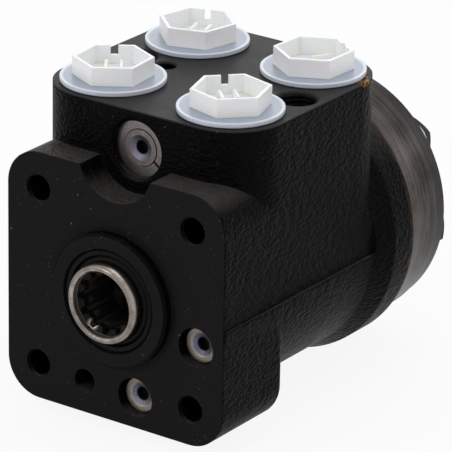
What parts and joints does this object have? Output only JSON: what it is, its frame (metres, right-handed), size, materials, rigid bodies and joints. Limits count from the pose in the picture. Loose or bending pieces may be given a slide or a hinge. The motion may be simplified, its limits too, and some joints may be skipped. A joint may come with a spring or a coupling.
{
  "type": "orbital steering unit",
  "caption": "Hydraulic orbital steering unit: square column flange with splined shaft nose, port block with capped ports, round gear set and end cover behind.",
  "frame": {"origin": "centre of the column bolt pattern, in the plane of the column face", "axes": "-Y out of the column face along the shaft, +Z out of the ports, +X to the right seen from the column"},
  "size_m": [0.09, 0.1347, 0.1106],
  "materials": {
    "black_paint": "black paint over iron casting, machined faces smooth, sides rough cast",
    "bright_steel": "ground and polished steel",
    "ground_steel": "ground steel, oiled",
    "cover_grey": "turned steel, grey",
    "grey_steel": "dull grey steel",
    "black_steel": "blackened steel",
    "spring_steel": "spring steel",
    "soft_washer": "plain soft metal washer",
    "slide_ring": "filled plastic slide ring",
    "dark_rubber": "oil-proof rubber",
    "milky_plastic": "milky translucent moulded plastic"
  },
  "bodies": {
    "housing": {"housing": "black_paint", "dust_seal": "dark_rubber", "shaft_seal_ring": "slide_ring", "shaft_seal_rubber": "dark_rubber", "bearing_outer_race": "bright_steel", "housing_seal": "dark_rubber", "plate_seal": "dark_rubber", "cover_seal": "dark_rubber", "distributor_plate": "ground_steel", "gear_ring": "ground_steel", "end_cover": "cover_grey", "rear_screws": "black_steel", "pin_screw": "black_steel", "rear_washers": "soft_washer", "relief_split_ring": "spring_steel", "relief_plug": "grey_steel", "relief_adjusting_screw": "grey_steel", "relief_spring": "spring_steel", "relief_seat": "grey_steel", "shock_valve_screw_right": "grey_steel", "shock_valve_screw_left": "grey_steel", "shock_valve_spring_right": "spring_steel", "shock_valve_spring_left": "spring_steel", "suction_pin_right": "grey_steel", "suction_pin_left": "grey_steel", "check_bushing": "grey_steel"},
    "sleeve_set": {"sleeve": "bright_steel", "retaining_ring": "bright_steel", "cross_pin": "bright_steel", "flat_leaf_springs": "spring_steel", "arched_leaf_springs": "spring_steel", "bearing_inner_race": "bright_steel"},
    "spool": {"spool": "bright_steel"},
    "cage": {"bearing_cage": "bright_steel", "bearing_needles": "bright_steel"},
    "orbit": {"spacer_disc": "bright_steel"},
    "star": {"gear_star": "ground_steel"},
    "drive": {"drive_shaft": "bright_steel"},
    "relief_poppet": {"relief_poppet": "bright_steel"},
    "check_ball": {"check_ball": "bright_steel"},
    "shock_ball_right": {"shock_valve_ball_right": "bright_steel"},
    "shock_ball_left": {"shock_valve_ball_left": "bright_steel"},
    "suction_ball_right": {"suction_ball_right": "bright_steel"},
    "suction_ball_left": {"suction_ball_left": "bright_steel"},
    "plug_front_left": {"transport_plug_front_left": "milky_plastic"},
    "plug_front_right": {"transport_plug_front_right": "milky_plastic"},
    "plug_rear_left": {"transport_plug_rear_left": "milky_plastic"},
    "plug_rear_right": {"transport_plug_rear_right": "milky_plastic"}
  },
  "joints": [
    {"name": "sleeve_turn", "type": "hinge", "parent": "housing", "child": "sleeve_set", "pos_m": [0, 0, 0], "axis": [0, 1, 0], "continuous": true},
    {"name": "spool_turn", "type": "hinge", "parent": "sleeve_set", "child": "spool", "pos_m": [0, 0, 0], "axis": [0, 1, 0], "range_deg": [-8, 8], "stiffness_Nm_per_rad": 6},
    {"name": "cage_turn", "type": "hinge", "parent": "housing", "child": "cage", "pos_m": [0, 0, 0], "axis": [0, 1, 0], "continuous": true},
    {"name": "star_orbit", "type": "hinge", "parent": "housing", "child": "orbit", "pos_m": [0, 0, 0], "axis": [0, 1, 0], "continuous": true},
    {"name": "star_spin", "type": "hinge", "parent": "orbit", "child": "star", "pos_m": [0, 0.11181, 0.0035], "axis": [0, 1, 0], "continuous": true},
    {"name": "drive_spin", "type": "hinge", "parent": "orbit", "child": "drive", "pos_m": [0, 0.058, 0], "axis": [0, 0.9978, 0.0658], "continuous": true},
    {"name": "relief_lift", "type": "slide", "parent": "housing", "child": "relief_poppet", "axis": [0, -1, 0], "range_m": [0, 0.0012], "stiffness_N_per_m": 20000, "springref_m": -0.001, "deforming": ["relief_spring"]},
    {"name": "check_ball_lift", "type": "slide", "parent": "housing", "child": "check_ball", "axis": [0, 0, 1], "range_m": [0, 0.0019]},
    {"name": "shock_lift_right", "type": "slide", "parent": "housing", "child": "shock_ball_right", "axis": [0, -1, 0], "range_m": [0, 0.001], "stiffness_N_per_m": 20000, "springref_m": -0.001, "deforming": ["shock_valve_spring_right"]},
    {"name": "shock_lift_left", "type": "slide", "parent": "housing", "child": "shock_ball_left", "axis": [0, -1, 0], "range_m": [0, 0.001], "stiffness_N_per_m": 20000, "springref_m": -0.001, "deforming": ["shock_valve_spring_left"]},
    {"name": "suction_travel_right", "type": "slide", "parent": "housing", "child": "suction_ball_right", "axis": [0, 1, 0], "range_m": [0, 0.0015]},
    {"name": "suction_travel_left", "type": "slide", "parent": "housing", "child": "suction_ball_left", "axis": [0, 1, 0], "range_m": [0, 0.0015]},
    {"name": "plug_lift_front_left", "type": "slide", "parent": "housing", "child": "plug_front_left", "axis": [0, 0, 1], "range_m": [0, 0.014]},
    {"name": "plug_lift_front_right", "type": "slide", "parent": "housing", "child": "plug_front_right", "axis": [0, 0, 1], "range_m": [0, 0.014]},
    {"name": "plug_lift_rear_left", "type": "slide", "parent": "housing", "child": "plug_rear_left", "axis": [0, 0, 1], "range_m": [0, 0.014]},
    {"name": "plug_lift_rear_right", "type": "slide", "parent": "housing", "child": "plug_rear_right", "axis": [0, 0, 1], "range_m": [0, 0.014]}
  ],
  "couplings": [
    {"joint": "cage_turn", "follows": "sleeve_turn", "ratio": 0.5},
    {"joint": "star_orbit", "follows": "sleeve_turn", "ratio": -6},
    {"joint": "star_spin", "follows": "sleeve_turn", "ratio": 7},
    {"joint": "drive_spin", "follows": "sleeve_turn", "ratio": 7}
  ]
}
